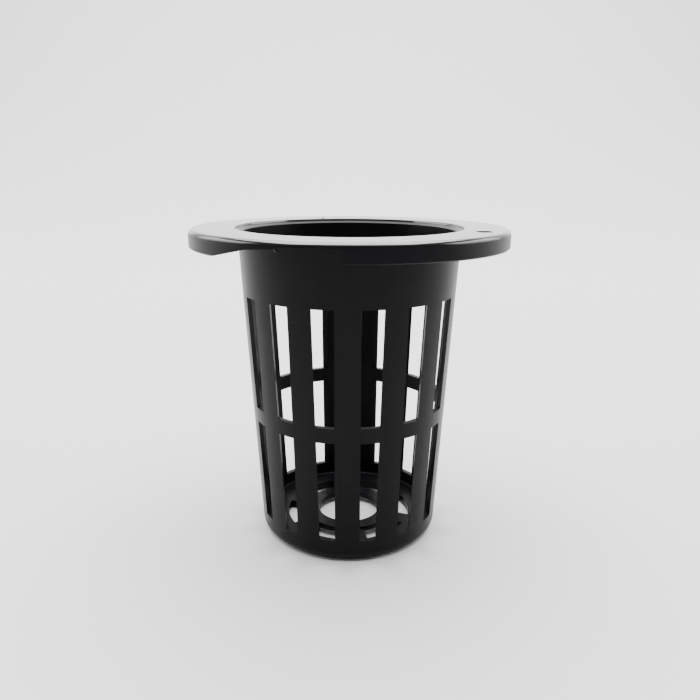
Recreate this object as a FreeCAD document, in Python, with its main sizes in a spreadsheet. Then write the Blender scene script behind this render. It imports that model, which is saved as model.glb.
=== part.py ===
import FreeCAD, Part
import math
import os
import Sketcher

# Net pot for growing plants in water: a tapered basket with a wide rim.
# One moulded piece.  Millimetres, +Z up, origin on the ground at the middle
# of the base, -Y towards the front.  Angles run from the front (-Y) towards
# the right (+X).

# Overall body
pot_height = 70.8  # ground to the top of the rim
body_radius_base = 20.65  # outside of the tapered wall, run on to the ground
body_radius_top = 24.55  # outside of the tapered wall, run on to the rim top
wall_thickness = 1.2  # tapered wall, measured level
base_edge_round = 2.6  # outside round between wall and base
inside_bevel = 0.8  # inside bevel between wall and base

# Rim: a flat plate with a lip hanging from its edge
rim_reach = 10.2  # rim edge, beyond the wall run on to the rim top
rim_plate = 1.2  # thickness of the flat plate of the rim
lip_drop = 2.65  # how far the lip hangs below the plate
lip_thickness = 1.4  # thickness of the hanging lip
rim_edge_round = 1.0  # round along the top outer edge of the rim
rim_round_step = 30  # turn of the profile at each step of that round
lip_edge_bevel = 0.25  # bevel along the lower outer edge of the lip
under_rim_bevel = 0.6  # bevel where the wall meets the plate

# Mouth: a shallow seat that leads into the tapered wall
seat_width = 1.65  # edge of the opening, beyond the inside of the wall
seat_depth = 0.5  # straight part of the seat
seat_taper = 0.5  # height of the sloping part below it
mouth_edge_bevel = 0.15  # bevel along the edge of the opening

# Two rows of windows between ribs that are narrower on the inside
window_count = 15  # windows in a row, all the way round
rib_width = 5.35  # every rib between two windows, on the outside
rib_width_inside = 3.0  # the same rib, on the inside of the wall
rib_turn = -0.7  # angle of the front rib
lower_row_start = 5.25  # foot of the lower windows
lower_window_height = 23.25  # windows of the lower row
band_height = 3.35  # plain band between the two rows
upper_window_height = 24.9  # windows of the upper row

# Base: outer plate, spokes and a raised ring around the middle hole
base_underside = 0.4  # gap under the base plate inside the foot
base_plate = 1.7  # thickness of the base plate and spokes
foot_width = 3.85  # standing foot, from the wall run on to the ground
plate_width = 2.1  # base plate between the foot and the slots
slot_width = 4.2  # curved slots, measured outwards
ring_width = 3.15  # ring between the slots and the middle hole
ring_rise = 0.9  # underside of the ring above that of the plate
ring_plate = 1.2  # thickness of the ring
spoke_count = 6  # spokes between the curved slots
spoke_width = 4.2  # width of a spoke
spoke_turn = 8.5  # angle of the first spoke

# Ramped cut-out in the lip, front left
ramp_turn = -25  # angle of the middle of the cut-out
ramp_left = 13.9  # foot of the ramp, left of the middle
ramp_knee = 4.5  # where the ramp turns flatter, left of the middle
ramp_knee_step = 0.65  # the knee, below the underside of the plate
ramp_head = 5.0  # end of the ramp, right of the middle
ramp_right = 13.6  # upright end of the cut-out, right of the middle

# Peg hole in the plate
peg_hole_radius = 1.9  # small round hole
peg_hole_inset = 4.75  # rim edge to hole centre
peg_hole_turn = 65  # angle of the hole

# Moulding pips
lip_pip_radius = 0.45  # pip inside the cut-out
lip_pip_drop = 0.75  # how far it hangs
lip_pip_inset = 0.65  # rim edge to pip centre
lip_pip_turn = -22  # angle of that pip
top_pip_radius = 0.4  # pip on the rim top beside the opening
top_pip_rise = 0.3  # how far it stands up
top_pip_inset = 0.7  # edge of the opening to pip centre
top_pip_turn = -164.5  # angle of that pip

cut_margin = 1.0  # how far cutters reach past the material

# Every size becomes a row of the sheet "Sizes", which drives the model.
# Sizes that follow from others are formulas below them.
os.makedirs("parts", exist_ok=True)
doc = FreeCAD.newDocument("NetPot")
sheet = doc.addObject("Spreadsheet::Sheet", "Sizes")
FULL_TURN = 360
SIZES = dict(
    pot_height=pot_height, body_radius_base=body_radius_base, body_radius_top=body_radius_top,
    wall_thickness=wall_thickness, base_edge_round=base_edge_round, inside_bevel=inside_bevel,
    rim_reach=rim_reach, rim_plate=rim_plate, lip_drop=lip_drop, lip_thickness=lip_thickness,
    rim_edge_round=rim_edge_round, rim_round_step=rim_round_step, lip_edge_bevel=lip_edge_bevel,
    under_rim_bevel=under_rim_bevel, seat_width=seat_width, seat_depth=seat_depth,
    seat_taper=seat_taper, mouth_edge_bevel=mouth_edge_bevel, window_count=window_count,
    rib_width=rib_width, rib_width_inside=rib_width_inside, rib_turn=rib_turn,
    lower_row_start=lower_row_start, lower_window_height=lower_window_height,
    band_height=band_height, upper_window_height=upper_window_height,
    base_underside=base_underside, base_plate=base_plate, foot_width=foot_width,
    plate_width=plate_width, slot_width=slot_width, ring_width=ring_width, ring_rise=ring_rise,
    ring_plate=ring_plate, spoke_count=spoke_count, spoke_width=spoke_width,
    spoke_turn=spoke_turn, ramp_turn=ramp_turn, ramp_left=ramp_left, ramp_knee=ramp_knee,
    ramp_knee_step=ramp_knee_step, ramp_head=ramp_head, ramp_right=ramp_right,
    peg_hole_radius=peg_hole_radius, peg_hole_inset=peg_hole_inset, peg_hole_turn=peg_hole_turn,
    lip_pip_radius=lip_pip_radius, lip_pip_drop=lip_pip_drop, lip_pip_inset=lip_pip_inset,
    lip_pip_turn=lip_pip_turn, top_pip_radius=top_pip_radius, top_pip_rise=top_pip_rise,
    top_pip_inset=top_pip_inset, top_pip_turn=top_pip_turn, cut_margin=cut_margin,
)
FROM_SIZES = dict(
    rim_radius="body_radius_top + rim_reach",
    rim_depth="rim_plate + lip_drop",
    mouth_radius="body_radius_top - wall_thickness + seat_width",
    lower_row_end="lower_row_start + lower_window_height",
    upper_row_start="lower_row_end + band_height",
    upper_row_end="upper_row_start + upper_window_height",
    foot_inner_radius="body_radius_base - foot_width",
    slot_radius="foot_inner_radius - plate_width",
    ring_radius="slot_radius - slot_width",
    hole_radius="ring_radius - ring_width",
    base_topside="base_underside + base_plate",
    ring_underside="base_underside + ring_rise",
    ring_topside="ring_underside + ring_plate",
    ramp_knee_drop="rim_plate + ramp_knee_step",
    peg_hole_reach="rim_radius - peg_hole_inset",
)


def write_row(row, name, text):
    """Write one value or formula on its row of the sheet."""
    sheet.set("A%d" % row, name)
    sheet.set("B%d" % row, text)
    sheet.setAlias("B%d" % row, name)


for row, (name, value) in enumerate(SIZES.items(), 1):
    write_row(row, name, str(value))
for row, (name, formula) in enumerate(FROM_SIZES.items(), 1 + len(SIZES)):
    write_row(row, name, "=" + formula)
doc.recompute()

body = doc.addObject("PartDesign::Body", "Pot")


def origin_part(role):
    """The body's own plane or axis with this role."""
    for feature in body.Origin.OriginFeatures:
        if feature.Role == role:
            return feature
    raise RuntimeError("no origin feature " + role)


def new_sketch(name, role, height=None, turn=None, reach=None):
    """Sketch on an origin plane, moved by sheet expressions.

    A level sketch (XY_Plane) is lifted to `height` and turned so that its
    x axis points away from the pot axis at the angle `turn`.  An upright
    sketch (XZ_Plane) faces outwards at the angle `turn`, `reach` away.
    """
    sketch = body.newObject("Sketcher::SketchObject", name)
    sketch.AttachmentSupport = [(origin_part(role), "")]
    sketch.MapMode = "FlatFace"
    if role == "XY_Plane" and turn is not None:
        sketch.AttachmentOffset = FreeCAD.Placement(
            FreeCAD.Vector(), FreeCAD.Rotation(FreeCAD.Vector(0, 0, 1), 1))
        sketch.setExpression("AttachmentOffset.Rotation.Angle", "(%s) - 90" % turn)
    if role == "XY_Plane" and height is not None:
        sketch.setExpression("AttachmentOffset.Base.z", height)
    if role == "XZ_Plane" and turn is not None:
        sketch.AttachmentOffset = FreeCAD.Placement(
            FreeCAD.Vector(), FreeCAD.Rotation(FreeCAD.Vector(0, 1, 0), 1))
        sketch.setExpression("AttachmentOffset.Rotation.Angle", turn)
        sketch.setExpression("AttachmentOffset.Base.x", "(%s) * sin(%s)" % (reach, turn))
        sketch.setExpression("AttachmentOffset.Base.z", "(%s) * cos(%s)" % (reach, turn))
    return sketch


def pin(sketch, geometry, point, across, up):
    """Hold one point at signed distances from the sketch origin.

    A text that starts with a minus sign is measured the other way round;
    the text "0" puts the point on the axis itself.
    """
    for kind, text, axis in (("DistanceX", across, -2), ("DistanceY", up, -1)):
        if text == "0":
            sketch.addConstraint(Sketcher.Constraint("PointOnObject", geometry, point, axis))
            continue
        if text.startswith("-"):
            rule = Sketcher.Constraint(kind, geometry, point, -1, 1, 1.0)
            text = text[1:]
        else:
            rule = Sketcher.Constraint(kind, -1, 1, geometry, point, 1.0)
        index = sketch.addConstraint(rule)
        sketch.setExpression("Constraints[%d]" % index, text)


def closed_outline(sketch, corners):
    """Straight-sided closed outline with every corner pinned by expressions."""
    total = len(corners)
    start = [FreeCAD.Vector(math.cos(math.tau * i / total), math.sin(math.tau * i / total), 0)
             for i in range(total)]
    for i in range(total):
        sketch.addGeometry(Part.LineSegment(start[i], start[(i + 1) % total]), False)
    for i in range(total):
        sketch.addConstraint(Sketcher.Constraint("Coincident", i, 2, (i + 1) % total, 1))
    for i, (across, up) in enumerate(corners):
        pin(sketch, i, 1, across, up)


def round_disc(sketch, reach, radius):
    """One circle on the sketch's x axis."""
    sketch.addGeometry(Part.Circle(FreeCAD.Vector(1, 0, 0), FreeCAD.Vector(0, 0, 1), 1), False)
    pin(sketch, 0, 3, reach, "0")
    index = sketch.addConstraint(Sketcher.Constraint("Radius", 0, 1.0))
    sketch.setExpression("Constraints[%d]" % index, radius)


def extrude(kind, name, sketch, length, reverse=False):
    """Pad or pocket of a given length along the sketch normal."""
    feature = body.newObject(kind, name)
    feature.Profile = sketch
    feature.setExpression("Length", length)
    feature.Reversed = reverse
    doc.recompute()
    return feature


def around(name, originals, count):
    """Repeat features evenly around the pot axis."""
    pattern = body.newObject("PartDesign::PolarPattern", name)
    pattern.Originals = originals
    pattern.Axis = (origin_part("Z_Axis"), [""])
    pattern.Angle = FULL_TURN
    pattern.setExpression("Occurrences", count)
    body.Tip = pattern
    doc.recompute()
    return pattern


def ring_edge(feature, radius, height):
    """Name of the circular edge nearest to this radius and height."""
    found = []
    for i, edge in enumerate(feature.Shape.Edges):
        if isinstance(edge.Curve, Part.Circle):
            miss = math.hypot(edge.Curve.Radius - radius, edge.Curve.Center.z - height)
            found.append((miss, "Edge%d" % (i + 1)))
    return [min(found)[1]]


def dress_edges(kind, name, base, edges, field, value):
    """Fillet or chamfer the named edges of a feature."""
    dressed = body.newObject(kind, name)
    dressed.Base = (base, edges)
    dressed.setExpression(field, value)
    doc.recompute()
    return dressed


def round_edges(name, base, edges, radius):
    """Rounded edge."""
    return dress_edges("PartDesign::Fillet", name, base, edges, "Radius", radius)


def bevel_edges(name, base, edges, leg):
    """Flat bevel, equal on both sides."""
    return dress_edges("PartDesign::Chamfer", name, base, edges, "Size", leg)


def wall_outside(height):
    """Expression for the outside radius of the tapered wall at a height."""
    slope = "(Sizes.body_radius_top - Sizes.body_radius_base) / Sizes.pot_height"
    return "Sizes.body_radius_base + (%s) * (%s)" % (slope, height)


def wall_inside(height):
    """Expression for the inside radius of the tapered wall at a height."""
    return wall_outside(height) + " - Sizes.wall_thickness"


def wall_outside_value(height):
    """The same radius as a number, for finding edges."""
    slope = (sheet.body_radius_top - sheet.body_radius_base) / sheet.pot_height
    return sheet.body_radius_base + slope * height


def rim_round(angle):
    """Profile corner on the rim's top round, at an angle above level."""
    across = "Sizes.rim_radius - Sizes.rim_edge_round * (1 - cos(%s))" % angle
    up = "Sizes.pot_height - Sizes.rim_edge_round * (1 - sin(%s))" % angle
    return across, up


# The whole cup, rim and base ring as one turned profile.  The rim's top
# round is drawn in straight steps, which keeps this long edge light.
UNDER_PLATE = "Sizes.pot_height - Sizes.rim_plate"
LIP_FOOT = "Sizes.pot_height - Sizes.rim_depth"
LIP_INSIDE = "Sizes.rim_radius - Sizes.lip_thickness"
SEAT_FOOT = "Sizes.pot_height - Sizes.seat_depth"
TAPER_FOOT = "Sizes.pot_height - Sizes.seat_depth - Sizes.seat_taper"
profile = new_sketch("CupProfile", "XZ_Plane")
closed_outline(profile, [
    ("Sizes.foot_inner_radius", "0"),
    ("Sizes.body_radius_base", "0"),
    (wall_outside(UNDER_PLATE), UNDER_PLATE),
    (LIP_INSIDE, UNDER_PLATE),
    (LIP_INSIDE, LIP_FOOT),
    ("Sizes.rim_radius", LIP_FOOT),
    ("Sizes.rim_radius", "Sizes.pot_height - Sizes.rim_edge_round"),
    rim_round("Sizes.rim_round_step"),
    rim_round("90 - Sizes.rim_round_step"),
    ("Sizes.rim_radius - Sizes.rim_edge_round", "Sizes.pot_height"),
    ("Sizes.mouth_radius", "Sizes.pot_height"),
    ("Sizes.mouth_radius", SEAT_FOOT),
    (wall_inside(TAPER_FOOT), TAPER_FOOT),
    (wall_inside("Sizes.base_topside"), "Sizes.base_topside"),
    ("Sizes.ring_radius", "Sizes.base_topside"),
    ("Sizes.ring_radius", "Sizes.ring_topside"),
    ("Sizes.hole_radius", "Sizes.ring_topside"),
    ("Sizes.hole_radius", "Sizes.ring_underside"),
    ("Sizes.ring_radius", "Sizes.ring_underside"),
    ("Sizes.ring_radius", "Sizes.base_underside"),
    ("Sizes.foot_inner_radius", "Sizes.base_underside"),
])
doc.recompute()
cup = body.newObject("PartDesign::Revolution", "Cup")
cup.Profile = profile
cup.ReferenceAxis = (profile, ["V_Axis"])
cup.Angle = FULL_TURN
doc.recompute()

# Rounds and bevels, while every edge is still a full circle
inside_radius = wall_outside_value(sheet.base_topside) - sheet.wall_thickness
under_plate = sheet.pot_height - sheet.rim_plate
lip_foot = sheet.pot_height - sheet.rim_depth
base_rounded = round_edges(
    "BaseRound", cup, ring_edge(cup, sheet.body_radius_base, 0), "Sizes.base_edge_round")
inside_bevelled = bevel_edges(
    "InsideBevel", base_rounded,
    ring_edge(base_rounded, inside_radius, sheet.base_topside), "Sizes.inside_bevel")
lip_bevelled = bevel_edges(
    "LipBevel", inside_bevelled,
    ring_edge(inside_bevelled, sheet.rim_radius, lip_foot), "Sizes.lip_edge_bevel")
under_bevelled = bevel_edges(
    "UnderRimBevel", lip_bevelled,
    ring_edge(lip_bevelled, wall_outside_value(under_plate), under_plate),
    "Sizes.under_rim_bevel")
mouth_bevelled = bevel_edges(
    "MouthBevel", under_bevelled,
    ring_edge(under_bevelled, sheet.mouth_radius, sheet.pot_height), "Sizes.mouth_edge_bevel")

# Curved slots in the base, one between each pair of spokes
HALF_STEP = "180 / Sizes.spoke_count"
SLOT_HALF_WIDE = (
    "sin(%s) * sqrt(Sizes.%s ^ 2 - (Sizes.spoke_width / 2) ^ 2)"
    " - cos(%s) * Sizes.spoke_width / 2")


def slot_corner(radius, side):
    """A corner of the slot as plain numbers, the start for its arc."""
    half = math.pi / sheet.spoke_count - math.asin(sheet.spoke_width / 2 / radius)
    return FreeCAD.Vector(radius * math.cos(half), side * radius * math.sin(half), 0)


def slot_arc(radius):
    """Arc from the right corner to the left corner of the slot."""
    middle = FreeCAD.Vector(radius, 0, 0)
    return Part.Arc(slot_corner(radius, -1), middle, slot_corner(radius, 1))


slot_sketch = new_sketch(
    "SlotShape", "XY_Plane", "Sizes.base_topside", "Sizes.spoke_turn + " + HALF_STEP)
slot_sketch.addGeometry(slot_arc(sheet.ring_radius), False)
slot_sketch.addGeometry(slot_arc(sheet.slot_radius), False)
slot_sketch.addGeometry(Part.LineSegment(
    slot_corner(sheet.ring_radius, -1), slot_corner(sheet.slot_radius, -1)), False)
slot_sketch.addGeometry(Part.LineSegment(
    slot_corner(sheet.ring_radius, 1), slot_corner(sheet.slot_radius, 1)), False)
for arc, radius in ((0, "ring_radius"), (1, "slot_radius")):
    slot_sketch.addConstraint(Sketcher.Constraint("Coincident", arc, 3, -1, 1))
    index = slot_sketch.addConstraint(
        Sketcher.Constraint("Radius", arc, sheet.getPropertyByName(radius)))
    slot_sketch.setExpression("Constraints[%d]" % index, "Sizes." + radius)
for line, end in ((2, 1), (3, 2)):
    slot_sketch.addConstraint(Sketcher.Constraint("Coincident", line, 1, 0, end))
    slot_sketch.addConstraint(Sketcher.Constraint("Coincident", line, 2, 1, end))
    for point, radius in ((1, "ring_radius"), (2, "slot_radius")):
        start = slot_corner(sheet.getPropertyByName(radius), 1).y
        if end == 1:
            rule = Sketcher.Constraint("DistanceY", line, point, -1, 1, start)
        else:
            rule = Sketcher.Constraint("DistanceY", -1, 1, line, point, start)
        index = slot_sketch.addConstraint(rule)
        slot_sketch.setExpression(
            "Constraints[%d]" % index, SLOT_HALF_WIDE % (HALF_STEP, radius, HALF_STEP))
doc.recompute()
slot = extrude("PartDesign::Pocket", "Slot", slot_sketch, "Sizes.base_topside")
slots = around("Slots", [slot], "Sizes.spoke_count")

# Windows: each cutter runs from one level outline to another and widens
# inwards, so it leaves ribs that are narrower on the inside of the wall
HALF_BAY = "180 / Sizes.window_count"


def beside_rib(radius, rib_half):
    """Corner next to a rib, measured outwards and sideways from mid window."""
    along = "sqrt((%s) ^ 2 - (%s) ^ 2)" % (radius, rib_half)
    outwards = "cos(%s) * %s + sin(%s) * %s" % (HALF_BAY, along, HALF_BAY, rib_half)
    sideways = "sin(%s) * %s - cos(%s) * %s" % (HALF_BAY, along, HALF_BAY, rib_half)
    return outwards, sideways


def run_past(start, end):
    """Go on from `end` in the direction start to end, by the cut margin."""
    past = "Sizes.cut_margin / Sizes.wall_thickness"
    return ["(%s) + ((%s) - (%s)) * %s" % (e, e, s, past) for s, e in zip(start, end)]


def window_outline(name, height):
    """Level outline of a window, run past both faces of the wall."""
    outer = beside_rib(wall_outside(height), "Sizes.rib_width / 2")
    inner = beside_rib(wall_inside(height), "Sizes.rib_width_inside / 2")
    far, far_side = run_past(inner, outer)
    near, near_side = run_past(outer, inner)
    sketch = new_sketch(name, "XY_Plane", height, "Sizes.rib_turn + " + HALF_BAY)
    closed_outline(sketch, [
        (near, "-(%s)" % near_side),
        (far, "-(%s)" % far_side),
        (far, far_side),
        (near, near_side),
    ])
    return sketch


def window_row(name, foot, head):
    """Cut one row of windows between two heights."""
    window = body.newObject("PartDesign::SubtractiveLoft", name)
    window.Profile = window_outline(name + "Foot", foot)
    window.Sections = [window_outline(name + "Head", head)]
    window.Ruled = True
    doc.recompute()
    return around(name + "s", [window], "Sizes.window_count")


lower_row = window_row("LowerWindow", "Sizes.lower_row_start", "Sizes.lower_row_end")
upper_row = window_row("UpperWindow", "Sizes.upper_row_start", "Sizes.upper_row_end")

# Ramped cut-out in the lip
ramp_sketch = new_sketch(
    "RampShape", "XZ_Plane", turn="Sizes.ramp_turn", reach="Sizes.rim_radius + Sizes.cut_margin")
BELOW_LIP = LIP_FOOT + " - Sizes.cut_margin"
closed_outline(ramp_sketch, [
    ("-Sizes.ramp_left", BELOW_LIP),
    ("Sizes.ramp_right", BELOW_LIP),
    ("Sizes.ramp_right", UNDER_PLATE),
    ("Sizes.ramp_head", UNDER_PLATE),
    ("-Sizes.ramp_knee", "Sizes.pot_height - Sizes.ramp_knee_drop"),
    ("-Sizes.ramp_left", LIP_FOOT),
])
doc.recompute()
ramp = extrude(
    "PartDesign::Pocket", "Ramp", ramp_sketch, "Sizes.rim_radius - Sizes.body_radius_top")

# Peg hole through the plate
peg_sketch = new_sketch("PegHoleShape", "XY_Plane", "Sizes.pot_height", "Sizes.peg_hole_turn")
round_disc(peg_sketch, "Sizes.peg_hole_reach", "Sizes.peg_hole_radius")
doc.recompute()
peg_hole = extrude("PartDesign::Pocket", "PegHole", peg_sketch, "Sizes.rim_plate")

# Pips left by moulding
lip_pip_sketch = new_sketch("LipPipShape", "XY_Plane", UNDER_PLATE, "Sizes.lip_pip_turn")
round_disc(lip_pip_sketch, "Sizes.rim_radius - Sizes.lip_pip_inset", "Sizes.lip_pip_radius")
doc.recompute()
lip_pip = extrude("PartDesign::Pad", "LipPip", lip_pip_sketch, "Sizes.lip_pip_drop", True)
top_pip_sketch = new_sketch("TopPipShape", "XY_Plane", "Sizes.pot_height", "Sizes.top_pip_turn")
round_disc(top_pip_sketch, "Sizes.mouth_radius + Sizes.top_pip_inset", "Sizes.top_pip_radius")
doc.recompute()
top_pip = extrude("PartDesign::Pad", "TopPip", top_pip_sketch, "Sizes.top_pip_rise")

body.Tip = top_pip
body.Label = "net_pot"
body.Placement = FreeCAD.Placement()
doc.recompute()

# Nothing is written unless every feature is sound and every cut took material
for item in doc.Objects:
    bad = [word for word in item.State if word in ("Invalid", "Error")]
    if bad:
        raise RuntimeError("%s is %s" % (item.Name, bad))
order = [cup, base_rounded, inside_bevelled, lip_bevelled, under_bevelled, mouth_bevelled,
         slots, lower_row, upper_row, ramp, peg_hole, lip_pip, top_pip]
for before, after in zip(order, order[1:]):
    change = after.Shape.Volume - before.Shape.Volume
    print("%-14s volume change %9.2f" % (after.Name, change))
    if math.isclose(after.Shape.Volume, before.Shape.Volume):
        raise RuntimeError(after.Name + " changed nothing")
shape = body.Shape
if shape.isNull() or not shape.isValid() or len(shape.Solids) != 1:
    raise RuntimeError("the pot is not one sound solid")
box = shape.BoundBox
print("net_pot: volume %.1f, %.2f wide, %.2f deep, %.2f tall" % (
    shape.Volume, box.XLength, box.YLength, box.ZLength))
shape.exportStep("parts/%s.step" % body.Label)
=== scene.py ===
# %% [markdown]
# # A hydroponic net pot
#
# The real object is one piece of moulded black plastic: a tapered basket with
# two rows of windows, a wide rim that hangs it in its hole, and an open base.
# A mould leaves every wall clean and every edge a little rounded, so the look
# comes from three things: exact straight ribs, thin bright lines along the
# edges, and soft reflections on a dark satin surface.
#
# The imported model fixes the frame: metres, Z up, the base on the ground at
# the origin and the front towards -Y.  Everything below is made in that frame.

# %% Load the frame
import math
import bmesh
import bpy
from mathutils import Matrix, Vector


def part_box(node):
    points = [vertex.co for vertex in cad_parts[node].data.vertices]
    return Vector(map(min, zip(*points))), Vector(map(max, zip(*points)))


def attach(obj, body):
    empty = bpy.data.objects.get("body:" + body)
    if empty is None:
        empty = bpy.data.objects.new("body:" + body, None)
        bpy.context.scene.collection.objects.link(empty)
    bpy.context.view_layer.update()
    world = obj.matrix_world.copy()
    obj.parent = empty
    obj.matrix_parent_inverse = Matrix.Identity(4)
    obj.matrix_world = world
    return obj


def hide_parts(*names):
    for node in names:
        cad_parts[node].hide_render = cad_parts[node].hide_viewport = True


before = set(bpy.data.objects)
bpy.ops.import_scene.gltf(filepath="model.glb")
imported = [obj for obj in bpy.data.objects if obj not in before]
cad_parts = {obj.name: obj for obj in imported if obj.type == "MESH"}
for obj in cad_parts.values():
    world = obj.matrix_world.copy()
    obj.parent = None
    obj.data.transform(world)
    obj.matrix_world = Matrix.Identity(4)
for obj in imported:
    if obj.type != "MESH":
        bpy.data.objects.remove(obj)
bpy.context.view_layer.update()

pot_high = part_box("net_pot")[1]

# %% [markdown]
# ## Sizes
#
# A maker reads the sizes from the drawing: overall height and rim from the
# model's box, wall, ribs and windows as named values.  Radii are measured
# from the pot's axis, heights from the ground, angles from the front towards
# the right.  A tapered wall needs only two radii, because every radius
# between them lies on a straight line.

# %% Sizes of the pot
MM = 0.001
PIP_RISE = 0.3 * MM
RIM_TOP = pot_high.z - PIP_RISE
RIM_RADIUS = pot_high.x
RIM_PLATE = 1.2 * MM
RIM_DEPTH = 3.85 * MM
LIP_THICKNESS = 1.4 * MM
RIM_ROUND = 1.0 * MM
LIP_BEVEL = 0.25 * MM
UNDER_PLATE = RIM_TOP - RIM_PLATE
LIP_FOOT = RIM_TOP - RIM_DEPTH
LIP_INSIDE = RIM_RADIUS - LIP_THICKNESS

WALL = 1.2 * MM
FOOT_RADIUS = 20.65 * MM
HEAD_RADIUS = 24.55 * MM
BASE_ROUND = 2.6 * MM
INSIDE_ROUND = 0.8 * MM
UNDER_RIM_ROUND = 0.6 * MM
MOUTH_RADIUS = 25.0 * MM
SEAT_DEPTH = 0.5 * MM
SEAT_TAPER = 0.5 * MM

BAYS = 15
RIB_WIDTH = 5.35 * MM
RIB_WIDTH_INSIDE = 3.0 * MM
FRONT_RIB = math.radians(-0.7)
LOWER_ROW = (5.25 * MM, 28.5 * MM)
UPPER_ROW = (31.85 * MM, 56.75 * MM)


def wall_outside(height):
    """Outside radius of the tapered wall at a height."""
    return FOOT_RADIUS + (HEAD_RADIUS - FOOT_RADIUS) * height / RIM_TOP


def at(radius, height, angle):
    """Point at a radius and height, at an angle from the front."""
    return Vector((radius * math.sin(angle), -radius * math.cos(angle), height))


print("rim %.2f mm round, %.2f mm high" % (RIM_RADIUS * 2 / MM, RIM_TOP / MM))
print("wall radius %.2f to %.2f mm" % (FOOT_RADIUS / MM, HEAD_RADIUS / MM))

# %% [markdown]
# ## One bay of the wall
#
# The wall repeats fifteen times: half a rib, a window above a window, half a
# rib.  So only one such bay is drawn, as a skin outside and a skin inside
# that are sewn together round the windows.  A pot could also be turned solid
# and cut with blocks, but cuts leave ragged slivers that spoil a shine.
# Drawing the bay in clean quads keeps every reflection smooth.
#
# A rib has one width from top to bottom although the wall tapers.  Its edge
# therefore lies at a fixed distance from the rib's middle plane, and the
# angle of that edge follows from the radius.  On the inside of the wall the
# ribs are narrower than on the outside, so each window widens inwards.

# %% Columns of one bay
RIB_STEPS = 3
WINDOW_STEPS = 6
BAY_ANGLE = math.tau / BAYS


def ribbed_columns(half_width, rib_steps, gap_steps):
    """Columns across a bay: a half rib, the gap, and the next half rib."""
    rib = [("rib", half_width * i / rib_steps) for i in range(rib_steps + 1)]
    gap = [("gap", i / gap_steps) for i in range(1, gap_steps)]
    next_rib = [("next", half_width * i / rib_steps) for i in range(rib_steps, -1, -1)]
    return rib + gap + next_rib


def column_angle(column, radius, half_width, bay_angle):
    """Angle of a column on a circle of this radius."""
    kind, value = column
    edge = math.asin(half_width / radius)
    if kind == "rib":
        return math.asin(value / radius)
    if kind == "next":
        return bay_angle - math.asin(value / radius)
    return edge + value * (bay_angle - 2 * edge)


print("one bay covers", round(math.degrees(BAY_ANGLE), 1), "degrees")

# %% [markdown]
# The profile of the wall is a list of rings, from the standing foot up the
# outside to the rim, and from the mouth down the inside to the base.  Rounds
# are short arcs of rings.  Where an arc joins a straight run it starts in the
# same direction, so the light slides over it without a kink.

# %% Rings of the wall
FOOT_INSIDE = 16.8 * MM
BASE_UNDERSIDE = 0.4 * MM
BASE_TOPSIDE = 2.1 * MM
MOUTH_EDGE = 0.15 * MM
ROW_STEPS = 5
FOOT_ROUND_STEPS = 9
SMALL_ROUND_STEPS = 4
PLAIN_WALL_RINGS = [61 * MM, 65 * MM]


def arc_rings(centre, radius, start, end, steps):
    """Rings along an arc of the profile, angles in degrees."""
    angles = [math.radians(start + (end - start) * i / steps) for i in range(steps + 1)]
    return [(centre[0] + radius * math.cos(a), centre[1] + radius * math.sin(a)) for a in angles]


def spread(start, end, steps):
    """Heights evenly spaced from start to end, both included."""
    return [start + (end - start) * i / steps for i in range(steps + 1)]


taper = math.atan((HEAD_RADIUS - FOOT_RADIUS) / RIM_TOP)
round_centre = (wall_outside(BASE_ROUND) - BASE_ROUND / math.cos(taper), BASE_ROUND)
foot_rings = [(FOOT_INSIDE, BASE_UNDERSIDE), (FOOT_INSIDE, 0)]
foot_rings += arc_rings(round_centre, BASE_ROUND, -90, -math.degrees(taper),
                         FOOT_ROUND_STEPS)
wall_heights = spread(*LOWER_ROW, ROW_STEPS) + spread(*UPPER_ROW, ROW_STEPS) + PLAIN_WALL_RINGS
round_foot = UNDER_PLATE - UNDER_RIM_ROUND
under_round = arc_rings((wall_outside(round_foot) + UNDER_RIM_ROUND, round_foot),
                        UNDER_RIM_ROUND, 180, 90, SMALL_ROUND_STEPS)
outside = foot_rings + [(wall_outside(z), z) for z in wall_heights] + under_round

seat_foot = RIM_TOP - SEAT_DEPTH
taper_foot = seat_foot - SEAT_TAPER
inner_floor = BASE_TOPSIDE + INSIDE_ROUND
inside_round = arc_rings((wall_outside(inner_floor) - WALL - INSIDE_ROUND, inner_floor),
                         INSIDE_ROUND, 0, -90, SMALL_ROUND_STEPS)
inside = [(MOUTH_RADIUS + MOUTH_EDGE, RIM_TOP), (MOUTH_RADIUS, RIM_TOP - MOUTH_EDGE),
          (MOUTH_RADIUS, seat_foot), (wall_outside(taper_foot) - WALL, taper_foot)]
inside += [(wall_outside(z) - WALL, z) for z in reversed(wall_heights)] + inside_round
print(len(outside), "rings outside,", len(inside), "rings inside")

# %% [markdown]
# The skins leave out the cells where a window is.  Four strips line each
# window: two down the ribs, one at the sill and one at the head.  Both skins
# have rings at the same heights there, so the strips fit point to point.

# %% Sew one bay together
gap_cells = range(RIB_STEPS, RIB_STEPS + WINDOW_STEPS)
window_spans = [LOWER_ROW, UPPER_ROW]


def in_window(low, high):
    """True for a band of the wall that lies within a row of windows."""
    middle = (low + high) / 2
    return any(foot < middle < head for foot, head in window_spans)


def skin(mesh, rings, half_width, bay_angle, rib_steps, gap_steps):
    """Points of every ring of a bay, its ribs this wide on both sides."""
    columns = ribbed_columns(half_width, rib_steps, gap_steps)
    return [[mesh.verts.new(at(r, z, column_angle(c, r, half_width, bay_angle)))
             for c in columns] for r, z in rings]


def face(mesh, *corners):
    """One face, its corners in the order that makes it point out of the plastic."""
    mesh.faces.new(corners)


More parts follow.
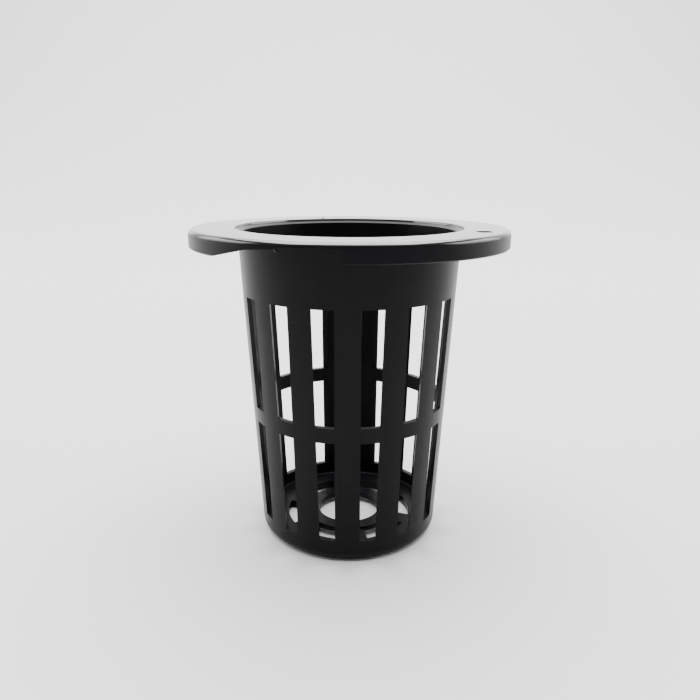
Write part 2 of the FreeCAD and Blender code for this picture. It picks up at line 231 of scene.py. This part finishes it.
def build_bay():
    """One bay of the wall as a mesh."""
    mesh = bmesh.new()
    steps = (BAY_ANGLE, RIB_STEPS, WINDOW_STEPS)
    out = skin(mesh, outside, RIB_WIDTH / 2, *steps)
    inn = skin(mesh, inside, RIB_WIDTH_INSIDE / 2, *steps)
    cells = range(len(out[0]) - 1)
    for rings, points in ((outside, out), (inside, inn)):
        for i in range(len(rings) - 1):
            low, high = sorted((rings[i][1], rings[i + 1][1]))
            open_band = in_window(low, high)
            for j in cells:
                if open_band and j in gap_cells:
                    continue
                face(mesh, points[i][j], points[i][j + 1], points[i + 1][j + 1], points[i + 1][j])
    left, right = gap_cells[0], gap_cells[-1] + 1
    inner_at = {round(z / MM, 3): row for (r, z), row in zip(inside, inn)}
    outer_at = {round(z / MM, 3): row for (r, z), row in zip(outside, out)}
    for foot, head in window_spans:
        heights = spread(foot, head, ROW_STEPS)
        for low, high in zip(heights, heights[1:]):
            o1, o2 = outer_at[round(low / MM, 3)], outer_at[round(high / MM, 3)]
            i1, i2 = inner_at[round(low / MM, 3)], inner_at[round(high / MM, 3)]
            face(mesh, o1[left], i1[left], i2[left], o2[left])
            face(mesh, o1[right], o2[right], i2[right], i1[right])
        for height, sill in ((foot, True), (head, False)):
            o, i = outer_at[round(height / MM, 3)], inner_at[round(height / MM, 3)]
            for j in gap_cells:
                corners = (o[j], o[j + 1], i[j + 1], i[j])
                face(mesh, *(corners if sill else reversed(corners)))
    made = bpy.data.meshes.new("wall_bay")
    mesh.to_mesh(made)
    mesh.free()
    return made


bay_mesh = build_bay()
print("one bay:", len(bay_mesh.vertices), "points,", len(bay_mesh.polygons), "faces")

# %% [markdown]
# ## A ring of copies
#
# Geometry Nodes repeat the bay.  The tree takes the drawn piece, puts one
# copy on each of a number of points that all lie on the axis, turns every
# copy by its share of the circle, makes the copies real and welds them along
# their shared edges.  The same tree serves the spokes of the base, because
# the number of copies and the turn of the first one are its inputs.

# %% The tree "ring of copies"
WELD = 0.002 * MM


def add_node(tree, kind, settings=None, inputs=None):
    """A node with its settings first, then the values or links of its sockets."""
    made = tree.nodes.new(kind)
    for name, value in (settings or {}).items():
        setattr(made, name, value)
    for name, value in (inputs or {}).items():
        if isinstance(value, bpy.types.NodeSocket):
            tree.links.new(value, made.inputs[name])
        else:
            made.inputs[name].default_value = value
    return made


def ring_of_copies():
    """Tree that repeats its geometry round the pot's axis."""
    tree = bpy.data.node_groups.new("ring of copies", "GeometryNodeTree")
    face_in = tree.interface
    face_in.new_socket("Geometry", in_out="INPUT", socket_type="NodeSocketGeometry")
    face_in.new_socket("Copies", in_out="INPUT", socket_type="NodeSocketInt")
    face_in.new_socket("First turn", in_out="INPUT", socket_type="NodeSocketFloat")
    face_in.new_socket("Weld distance", in_out="INPUT", socket_type="NodeSocketFloat")
    face_in.new_socket("Finish", in_out="INPUT", socket_type="NodeSocketMaterial")
    face_in.new_socket("Geometry", in_out="OUTPUT", socket_type="NodeSocketGeometry")
    given = tree.nodes.new("NodeGroupInput").outputs
    points = add_node(tree, "GeometryNodePoints", inputs={"Count": given["Copies"]})
    share = add_node(tree, "ShaderNodeMath", {"operation": "DIVIDE"},
                     {0: math.tau, 1: given["Copies"]})
    index = add_node(tree, "GeometryNodeInputIndex")
    turn = add_node(tree, "ShaderNodeMath", {"operation": "MULTIPLY_ADD"},
                    {0: index.outputs[0], 1: share.outputs[0], 2: given["First turn"]})
    axis_turn = add_node(tree, "ShaderNodeCombineXYZ", inputs={"Z": turn.outputs[0]})
    copies = add_node(tree, "GeometryNodeInstanceOnPoints", inputs={
        "Points": points.outputs[0], "Instance": given["Geometry"],
        "Rotation": axis_turn.outputs[0]})
    real = add_node(tree, "GeometryNodeRealizeInstances", inputs={0: copies.outputs[0]})
    welded = add_node(tree, "GeometryNodeMergeByDistance", inputs={
        "Geometry": real.outputs[0], "Distance": given["Weld distance"]})
    finish = add_node(tree, "GeometryNodeSetMaterial", inputs={
        "Geometry": welded.outputs[0], "Material": given["Finish"]})
    result = tree.nodes.new("NodeGroupOutput")
    tree.links.new(finish.outputs[0], result.inputs[0])
    return tree


def evaluated_copy(owner, name):
    """Plain mesh of an object with its modifiers worked in."""
    depsgraph = bpy.context.evaluated_depsgraph_get()
    made = bpy.data.meshes.new_from_object(
        owner.evaluated_get(depsgraph), preserve_all_data_layers=True, depsgraph=depsgraph)
    made.name = name
    return made


def repeat_round(name, mesh, tree, values):
    """Run a tree on a mesh and give back the plain result."""
    owner = bpy.data.objects.new(name, mesh)
    bpy.context.collection.objects.link(owner)
    worker = owner.modifiers.new("repeat", "NODES")
    worker.node_group = tree
    sockets = {s.name: s.identifier for s in tree.interface.items_tree
               if getattr(s, "in_out", "") == "INPUT"}
    for label, value in values.items():
        worker[sockets[label]] = value
    made = evaluated_copy(owner, name)
    bpy.data.objects.remove(owner)
    return made


plastic = bpy.data.materials.new("pot_plastic")
ring_tree = ring_of_copies()
wall_mesh = repeat_round("wall_ring", bay_mesh, ring_tree, {
    "Copies": BAYS, "First turn": FRONT_RIB, "Weld distance": WELD, "Finish": plastic})
print("wall:", len(wall_mesh.vertices), "points,", len(wall_mesh.polygons), "faces")

# %% [markdown]
# ## The base
#
# Roots and water go through the base: a round hole in the middle, a raised
# ring about it, and six curved slots between spokes.  One sixth is drawn,
# from the middle of a spoke to the middle of the next, and the same tree
# repeats it.  Spokes have straight sides, as ribs have.

# %% One sixth of the base
SPOKES = 6
SPOKE_WIDTH = 4.2 * MM
FIRST_SPOKE = math.radians(8.5)
HOLE_RADIUS = 7.35 * MM
RING_RADIUS = 10.5 * MM
RING_UNDERSIDE = 1.3 * MM
RING_TOPSIDE = 2.5 * MM
SLOT_RADIUS = 14.7 * MM
PLATE_EDGE = 15.7 * MM
SPOKE_STEPS = 2
SLOT_STEPS = 10
SPOKE_ANGLE = math.tau / SPOKES


def build_base_part():
    """One sixth of the pierced base, between two spoke middles."""
    mesh = bmesh.new()
    slot_cells = range(SPOKE_STEPS, SPOKE_STEPS + SLOT_STEPS)
    names = {
        "edge top": (PLATE_EDGE, BASE_TOPSIDE), "slot top": (SLOT_RADIUS, BASE_TOPSIDE),
        "foot top": (RING_RADIUS, BASE_TOPSIDE), "ring top": (RING_RADIUS, RING_TOPSIDE),
        "hole top": (HOLE_RADIUS, RING_TOPSIDE), "hole low": (HOLE_RADIUS, RING_UNDERSIDE),
        "ring low": (RING_RADIUS, RING_UNDERSIDE), "foot low": (RING_RADIUS, BASE_UNDERSIDE),
        "slot low": (SLOT_RADIUS, BASE_UNDERSIDE), "edge low": (PLATE_EDGE, BASE_UNDERSIDE)}
    row = dict(zip(names, skin(mesh, names.values(), SPOKE_WIDTH / 2, SPOKE_ANGLE,
                               SPOKE_STEPS, SLOT_STEPS)))

    def strip(low, high, cells):
        for j in cells:
            face(mesh, row[low][j], row[low][j + 1], row[high][j + 1], row[high][j])

    all_cells = range(2 * SPOKE_STEPS + SLOT_STEPS)
    spoke_cells = [j for j in all_cells if j not in slot_cells]
    for low, high in (("edge top", "slot top"), ("foot top", "ring top"),
                      ("ring top", "hole top"), ("hole top", "hole low"),
                      ("hole low", "ring low"), ("slot low", "edge low")):
        strip(low, high, all_cells)
    for low, high in (("slot top", "foot top"), ("ring low", "foot low"),
                      ("foot low", "slot low")):
        strip(low, high, spoke_cells)
    for low, high in (("slot top", "slot low"), ("ring low", "foot top")):
        strip(low, high, slot_cells)
    sides = ("foot top", "slot top", "slot low", "foot low", "ring low")
    left, right = slot_cells[0], slot_cells[-1] + 1
    face(mesh, *[row[name][left] for name in sides])
    face(mesh, *[row[name][right] for name in reversed(sides)])
    bmesh.ops.recalc_face_normals(mesh, faces=mesh.faces)
    made = bpy.data.meshes.new("base_part")
    mesh.to_mesh(made)
    mesh.free()
    return made


base_mesh = repeat_round("base_ring", build_base_part(), ring_tree, {
    "Copies": SPOKES, "First turn": FIRST_SPOKE, "Weld distance": WELD, "Finish": plastic})
print("base:", len(base_mesh.vertices), "points,", len(base_mesh.polygons), "faces")

# %% [markdown]
# ## The rim's edge
#
# A lip hangs from the edge of the plate.  At the front left it is cut away
# along a ramp, where a finger lifts the pot out of its hole.  The lip is
# turned from its own profile, and only the height of its foot changes from
# column to column.  The cut was made straight across, so its height depends
# on the distance from the middle plane of the cut, the same inside and out.

# %% The cut-out in the lip
CUT_TURN = math.radians(-25)
CUT_STEP = 0.01 * MM
CUT_COLUMNS = 22
CUT_APART = 0.2 * MM
CUT_CLEAR = math.radians(2.5)
RIM_COLUMNS = 148
RIM_ROUND_STEPS = 8
cut_line = [(-13.9 * MM, RIM_DEPTH), (-4.5 * MM, 1.85 * MM), (5.0 * MM, RIM_PLATE),
            (13.6 * MM, RIM_PLATE), (13.6 * MM + CUT_STEP, RIM_DEPTH)]


def lip_drop(across):
    """How far the lip hangs below the rim top, at a distance from the cut's middle."""
    if not cut_line[0][0] < across < cut_line[-1][0]:
        return RIM_DEPTH
    for (x1, d1), (x2, d2) in zip(cut_line, cut_line[1:]):
        if x1 <= across <= x2:
            return d1 + (d2 - d1) * (across - x1) / (x2 - x1)


# %% Turn the rim's edge
def rim_columns():
    """Distances across the cut, then plain angles for the rest of the circle."""
    inside_cut = [point[0] for point in cut_line]
    fine = spread(cut_line[0][0], cut_line[-2][0], CUT_COLUMNS)
    inside_cut += [x for x in fine if min(abs(x - k) for k in inside_cut) > CUT_APART]
    cut = [("across", x) for x in sorted(inside_cut)]
    start = math.asin(cut_line[-1][0] / RIM_RADIUS) + CUT_CLEAR
    end = math.tau + math.asin(cut_line[0][0] / RIM_RADIUS) - CUT_CLEAR
    return cut + [("angle", a) for a in spread(start, end, RIM_COLUMNS)]


def rim_angle(column, radius):
    """Angle of a column of the rim on a circle of this radius."""
    kind, value = column
    return CUT_TURN + (math.asin(value / radius) if kind == "across" else value)


def build_rim():
    """The rim's edge: lip, foot and top round."""
    mesh = bmesh.new()
    columns = rim_columns()
    rings = [(LIP_INSIDE, UNDER_PLATE), (LIP_INSIDE, None), (RIM_RADIUS - LIP_BEVEL, None),
             (RIM_RADIUS, None)]
    rings += arc_rings((RIM_RADIUS - RIM_ROUND, RIM_TOP - RIM_ROUND), RIM_ROUND, 0, 90,
                       RIM_ROUND_STEPS)
    rows = []
    for radius, height in rings:
        row = []
        for column in columns:
            angle = rim_angle(column, radius)
            z = height
            if height is None:
                z = RIM_TOP - lip_drop(column[1] if column[0] == "across" else RIM_RADIUS)
                if radius == RIM_RADIUS:
                    z = max(z, LIP_FOOT + LIP_BEVEL)
            row.append(mesh.verts.new(at(radius, z, angle)))
        rows.append(row)
    for low, high in zip(rows, rows[1:]):
        for j in range(len(columns)):
            k = (j + 1) % len(columns)
            face(mesh, low[j], low[k], high[k], high[j])
    bmesh.ops.remove_doubles(mesh, verts=mesh.verts, dist=WELD)
    made = bpy.data.meshes.new("rim_edge")
    mesh.to_mesh(made)
    mesh.free()
    return made


rim_mesh = build_rim()
print("rim edge:", len(rim_mesh.vertices), "points,", len(rim_mesh.polygons), "faces")

# %% [markdown]
# ## Close the flat faces
#
# Four flat rings are still open: the top and the underside of the rim plate,
# and the top and the underside of the base.  Their borders have different
# numbers of points, so they are filled with triangles, which never shows on
# a flat face.  A small hole through the rim plate is drawn into both of its
# fills, and a strip lines it.

# %% Join, fill and weld
PEG_RADIUS = 1.9 * MM
PEG_REACH = 30.0 * MM
PEG_TURN = math.radians(65)
PEG_STEPS = 40


def border_edges(mesh, height):
    """Open edges that lie at one height."""
    return [e for e in mesh.edges if e.is_boundary
            and all(abs(v.co.z - height) < WELD for v in e.verts)]


def peg_circle(mesh, height):
    """Loop of points round the peg hole."""
    centre = at(PEG_REACH, height, PEG_TURN)
    points = []
    for i in range(PEG_STEPS):
        a = math.tau * i / PEG_STEPS
        points.append(mesh.verts.new(centre + PEG_RADIUS * Vector((math.cos(a), math.sin(a), 0))))
    for i in range(PEG_STEPS):
        mesh.edges.new((points[i], points[(i + 1) % PEG_STEPS]))
    return points


def fill_flat(mesh, edges, up):
    """Fill between loops in one plane and point the faces up or down."""
    made = bmesh.ops.triangle_fill(mesh, use_beauty=True, edges=edges, normal=(0, 0, 1))
    faces = [g for g in made["geom"] if isinstance(g, bmesh.types.BMFace)]
    for f in faces:
        f.normal_update()
        if (f.normal.z > 0) != up:
            f.normal_flip()
    return len(faces)


def build_shell():
    """Wall, base and rim as one closed mesh."""
    mesh = bmesh.new()
    for part in (wall_mesh, base_mesh, rim_mesh):
        mesh.from_mesh(part)
    loops = {}
    for height, up in ((RIM_TOP, True), (UNDER_PLATE, False)):
        edges = border_edges(mesh, height)
        loops[height] = peg_circle(mesh, height)
        edges += [e for e in mesh.edges if e.is_wire]
        print("plate fill:", fill_flat(mesh, edges, up), "faces")
    for height, up in ((BASE_TOPSIDE, True), (BASE_UNDERSIDE, False)):
        print("base fill:", fill_flat(mesh, border_edges(mesh, height), up), "faces")
    high, low = loops[RIM_TOP], loops[UNDER_PLATE]
    for i in range(PEG_STEPS):
        j = (i + 1) % PEG_STEPS
        face(mesh, high[i], high[j], low[j], low[i])
    bmesh.ops.remove_doubles(mesh, verts=mesh.verts, dist=WELD)
    open_edges = [e for e in mesh.edges if not e.is_manifold]
    print("open edges left:", len(open_edges))
    bmesh.ops.recalc_face_normals(mesh, faces=mesh.faces)
    for f in mesh.faces:
        f.smooth = True
    made = bpy.data.meshes.new("net_pot_shell")
    mesh.to_mesh(made)
    mesh.free()
    return made


shell_mesh = build_shell()
shell_mesh.materials.clear()
shell_mesh.materials.append(plastic)
print("shell:", len(shell_mesh.vertices), "points,", len(shell_mesh.polygons), "faces")

# %% [markdown]
# ## Soft edges
#
# No moulded edge is sharp.  A bevel of a seventh of a millimetre on every
# corner steeper than a third of a right angle gives each window its thin
# bright line, and weighted normals keep the broad faces calm beside it.

# %% Round the edges of the pot
EDGE_ROUND = 0.14 * MM
EDGE_STEPS = 2
EDGE_TURN = math.radians(32)
FLAT_FACE_WEIGHT = 50

pot = bpy.data.objects.new("pot_shell", shell_mesh)
bpy.context.collection.objects.link(pot)
edges = pot.modifiers.new("edges", "BEVEL")
edges.width = EDGE_ROUND
edges.segments = EDGE_STEPS
edges.limit_method = "ANGLE"
edges.angle_limit = EDGE_TURN
edges.use_clamp_overlap = True
calm = pot.modifiers.new("calm", "WEIGHTED_NORMAL")
calm.mode = "FACE_AREA"
calm.weight = FLAT_FACE_WEIGHT
calm.keep_sharp = False
finished = evaluated_copy(pot, "pot_shell")
pot.modifiers.clear()
pot.data = finished
print("finished:", len(finished.vertices), "points,",
      sum(len(p.vertices) - 2 for p in finished.polygons), "triangles")
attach(pot, "root")
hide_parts("net_pot")

# %% [markdown]
# ## Moulding pips
#
# Two small pips are left where pins or gates of the mould met the part: one
# hangs inside the cut-out of the lip, one stands beside the mouth at the
# back.  Each is a short peg with a rounded end, turned about its own axis.

# %% Two pips
LIP_PIP = (0.45 * MM, 0.75 * MM, RIM_RADIUS - 0.65 * MM, math.radians(-22))
TOP_PIP = (0.40 * MM, 0.30 * MM, MOUTH_RADIUS + 0.7 * MM, math.radians(-164.5))
PIP_ROOT = 0.1 * MM
PIP_STEPS = 20
NOSE_SHARE = 0.8
NOSE_ANGLES = (22, 45, 68)


def build_pip(name, pip, base_height, direction):
    """A short peg with a rounded end, rooted a little inside the plate."""
    radius, length, reach, turn = pip
    nose = min(radius, length) * NOSE_SHARE
    profile = [(radius, -PIP_ROOT), (radius, length - nose)]
    for a in NOSE_ANGLES:
        across, along = math.cos(math.radians(a)), math.sin(math.radians(a))
        profile.append((radius * across, length - nose + nose * along))
    centre = at(reach, base_height, turn)
    mesh = bmesh.new()
    steps = PIP_STEPS
    rows = [[mesh.verts.new(centre + Vector((r * math.cos(math.tau * i / steps),
                                             r * math.sin(math.tau * i / steps), direction * h)))
             for i in range(steps)] for r, h in profile]
    for low, high in zip(rows, rows[1:]):
        for i in range(steps):
            j = (i + 1) % steps
            face(mesh, low[i], low[j], high[j], high[i])
    tip = mesh.verts.new(centre + Vector((0, 0, direction * length)))
    root = mesh.verts.new(centre + Vector((0, 0, direction * -PIP_ROOT)))
    for i in range(steps):
        j = (i + 1) % steps
        face(mesh, rows[-1][i], rows[-1][j], tip)
        face(mesh, rows[0][j], rows[0][i], root)
    bmesh.ops.recalc_face_normals(mesh, faces=mesh.faces)
    for f in mesh.faces:
        f.smooth = True
    made = bpy.data.meshes.new(name)
    mesh.to_mesh(made)
    mesh.free()
    made.materials.append(plastic)
    owner = bpy.data.objects.new(name, made)
    bpy.context.collection.objects.link(owner)
    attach(owner, "root")
    return owner


lip_pip = build_pip("lip_pip", LIP_PIP, UNDER_PLATE, -1)
top_pip = build_pip("top_pip", TOP_PIP, RIM_TOP, 1)
print("pips:", lip_pip.name, top_pip.name)

# %% [markdown]
# ## The plastic
#
# Black polypropylene straight from a mould is not quite black and not quite
# smooth.  Its satin skin shows broad soft reflections, broken up by a very
# fine grain and faint flow marks.  The flat top of the rim mirrors the room
# much more than the wall does, so a clear coat is blended in above a height
# just under that top.  Everything follows the object's own coordinates, so
# it stays put from every side.

# %% Shader maths by expressions
class Val:
    """A number socket that can be used in plain arithmetic."""

    def __init__(self, tree, socket):
        self.tree, self.socket = tree, socket

    def _maths(self, operation, first, second):
        pick = lambda v: v.socket if isinstance(v, Val) else v
        made = add_node(self.tree, "ShaderNodeMath", {"operation": operation},
                        {0: pick(first), 1: pick(second)})
        return Val(self.tree, made.outputs[0])

    def __add__(self, other):
        return self._maths("ADD", self, other)

    def __radd__(self, other):
        return self._maths("ADD", other, self)

    def __sub__(self, other):
        return self._maths("SUBTRACT", self, other)

    def __rsub__(self, other):
        return self._maths("SUBTRACT", other, self)

    def __mul__(self, other):
        return self._maths("MULTIPLY", self, other)

    def __rmul__(self, other):
        return self._maths("MULTIPLY", other, self)


# %% The plastic's tree
POLISH_FOOT = RIM_TOP - 0.9 * MM
POLISH_FADE = 0.5 * MM
DARK_TINT = (0.0036, 0.0030, 0.0040, 1)
PALE_TINT = (0.0058, 0.0050, 0.0064, 1)
GRAIN_SCALE = 9000
WAVE_SCALE = 90
WAVE_STRETCH = (1, 1, 0.45)
CLOUD_SCALE = 160
BUMP_STRENGTH = 0.35
BUMP_DISTANCE = 0.12 * MM
PLASTIC_IOR = 1.17
COAT_IOR = 2.1
COAT_ROUGHNESS = 0.14


def make_plastic(material):
    """Satin black plastic with fine grain and flow marks, polished on the rim top."""
    material.use_nodes = True
    tree = material.node_tree
    tree.nodes.clear()
    place = add_node(tree, "ShaderNodeTexCoord").outputs["Object"]

    def noise(scale, detail, stretch=(1, 1, 1)):
        mapped = add_node(tree, "ShaderNodeMapping", inputs={"Vector": place, "Scale": stretch})
        made = add_node(tree, "ShaderNodeTexNoise", {"noise_dimensions": "3D"},
                        {"Vector": mapped.outputs[0], "Scale": scale, "Detail": detail})
        return Val(tree, made.outputs[0])

    grain = noise(GRAIN_SCALE, 2)
    waves = noise(WAVE_SCALE, 2, WAVE_STRETCH)
    cloud = noise(CLOUD_SCALE, 4)
    rough = 0.27 + 0.07 * cloud + 0.03 * grain
    height = 0.6 * waves + 0.012 * grain
    bump = add_node(tree, "ShaderNodeBump", inputs={
        "Strength": BUMP_STRENGTH, "Distance": BUMP_DISTANCE, "Height": height.socket})
    tint = add_node(tree, "ShaderNodeMix", {"data_type": "RGBA"}, {
        0: cloud.socket, 6: DARK_TINT, 7: PALE_TINT})
    height_above = add_node(tree, "ShaderNodeSeparateXYZ", inputs={"Vector": place}).outputs["Z"]
    polished = add_node(tree, "ShaderNodeMath", {"operation": "MULTIPLY_ADD", "use_clamp": True},
                        {0: height_above, 1: 1 / POLISH_FADE, 2: -POLISH_FOOT / POLISH_FADE})
    shader = add_node(tree, "ShaderNodeBsdfPrincipled", inputs={
        "Base Color": tint.outputs[2], "Roughness": rough.socket,
        "Normal": bump.outputs[0], "IOR": PLASTIC_IOR, "Coat Weight": polished.outputs[0],
        "Coat IOR": COAT_IOR, "Coat Roughness": COAT_ROUGHNESS})
    result = add_node(tree, "ShaderNodeOutputMaterial")
    tree.links.new(shader.outputs[0], result.inputs["Surface"])


make_plastic(plastic)
print("plastic has", len(plastic.node_tree.nodes), "nodes")

# %% [markdown]
# ## Studio
#
# A pale seamless sweep: the floor runs back flat and curves up into the
# wall, so no line shows behind the pot.

# %% Floor and backdrop
def build_sweep():
    """A floor that curves up into a wall behind."""
    width, front, back, bend, tall = 3.0, -1.6, 0.55, 0.5, 1.9
    line = [(front, 0.0), (0.0, 0.0), (back, 0.0)]
    line += [(back + bend * math.sin(math.radians(a)), bend - bend * math.cos(math.radians(a)))
             for a in range(6, 91, 6)]
    line.append((back + bend, tall))
    mesh = bmesh.new()
    rows = [[mesh.verts.new((x, y, z)) for x in (-width / 2, width / 2)] for y, z in line]
    for low, high in zip(rows, rows[1:]):
        face(mesh, low[0], low[1], high[1], high[0])
    for f in mesh.faces:
        f.smooth = True
    made = bpy.data.meshes.new("studio_sweep")
    mesh.to_mesh(made)
    mesh.free()
    owner = bpy.data.objects.new("studio_sweep", made)
    bpy.context.collection.objects.link(owner)
    return owner


PAPER_TONE = 0.80
PAPER_ROUGHNESS = 0.85
PAPER_SHINE = 0.2

sweep = build_sweep()
paper = bpy.data.materials.new("studio_paper")
paper.use_nodes = True
paper_shader = paper.node_tree.nodes["Principled BSDF"]
paper_shader.inputs["Base Color"].default_value = (PAPER_TONE, PAPER_TONE, PAPER_TONE, 1)
paper_shader.inputs["Roughness"].default_value = PAPER_ROUGHNESS
paper_shader.inputs["Specular IOR Level"].default_value = PAPER_SHINE
sweep.data.materials.append(paper)
print("sweep:", len(sweep.data.polygons), "faces")

# %% [markdown]
# ## Light
#
# Plastic this dark shows mostly what it reflects.  The air is therefore kept
# dim, and the light comes from a large panel overhead and one on each side.

# %% Lights
AIR_STRENGTH = 0.14
OVERHEAD_WATTS = 49
SIDE_WATTS = 8.0

world = bpy.data.worlds.new("studio_air")
bpy.context.scene.world = world
world.use_nodes = True
sky = world.node_tree.nodes["Background"]
sky.inputs["Color"].default_value = (1.0, 1.0, 1.0, 1)
sky.inputs["Strength"].default_value = AIR_STRENGTH


def soft_light(name, place, aim, wide, tall, watts):
    """A large rectangular light that points at a place."""
    lamp = bpy.data.lights.new(name, "AREA")
    lamp.shape = "RECTANGLE"
    lamp.size, lamp.size_y = wide, tall
    lamp.energy = watts
    owner = bpy.data.objects.new(name, lamp)
    owner.location = place
    owner.rotation_euler = (Vector(aim) - Vector(place)).to_track_quat("-Z", "Y").to_euler()
    bpy.context.collection.objects.link(owner)
    return owner


lights = [
    soft_light("overhead", (0, 0.25, 1.1), (0, 0.15, 0), 1.4, 1.4, OVERHEAD_WATTS),
    soft_light("left_wall", (-0.9, 0.2, 0.35), (0, 0.1, 0.05), 0.9, 0.7, SIDE_WATTS),
    soft_light("right_wall", (0.9, 0.2, 0.35), (0, 0.1, 0.05), 0.9, 0.7, SIDE_WATTS),
]
print("lights:", [lamp.name for lamp in lights])

# %% [markdown]
# ## Camera
#
# The pot is seen from close by and a little above, which is why the mouth
# looks wide and the ribs lean together towards the base.

# %% Camera
SENSOR = 36.0
IMAGE = 700
FOCAL_STEPS = 650.56
camera_data = bpy.data.cameras.new("camera")
camera_data.sensor_width = SENSOR
camera_data.lens = FOCAL_STEPS / IMAGE * SENSOR
camera_data.clip_start = 0.005
camera = bpy.data.objects.new("camera", camera_data)
PITCH, YAW, ROLL = 0.26823, 0.00131, 0.004
CAMERA_PLACE = (0.0, -0.14541, 0.08247)
ahead = Vector((math.sin(YAW), math.cos(YAW), 0))
right = Vector((math.cos(YAW), -math.sin(YAW), 0))
forward = ahead * math.cos(PITCH) - Vector((0, 0, 1)) * math.sin(PITCH)
up = ahead * math.sin(PITCH) + Vector((0, 0, 1)) * math.cos(PITCH)
right, up = (right * math.cos(ROLL) + up * math.sin(ROLL),
             up * math.cos(ROLL) - right * math.sin(ROLL))
camera.matrix_world = Matrix.Translation(CAMERA_PLACE) @ Matrix(
    (right, up, -forward)).transposed().to_4x4()
bpy.context.collection.objects.link(camera)
bpy.context.scene.camera = camera
print("lens %.2f mm" % camera_data.lens)
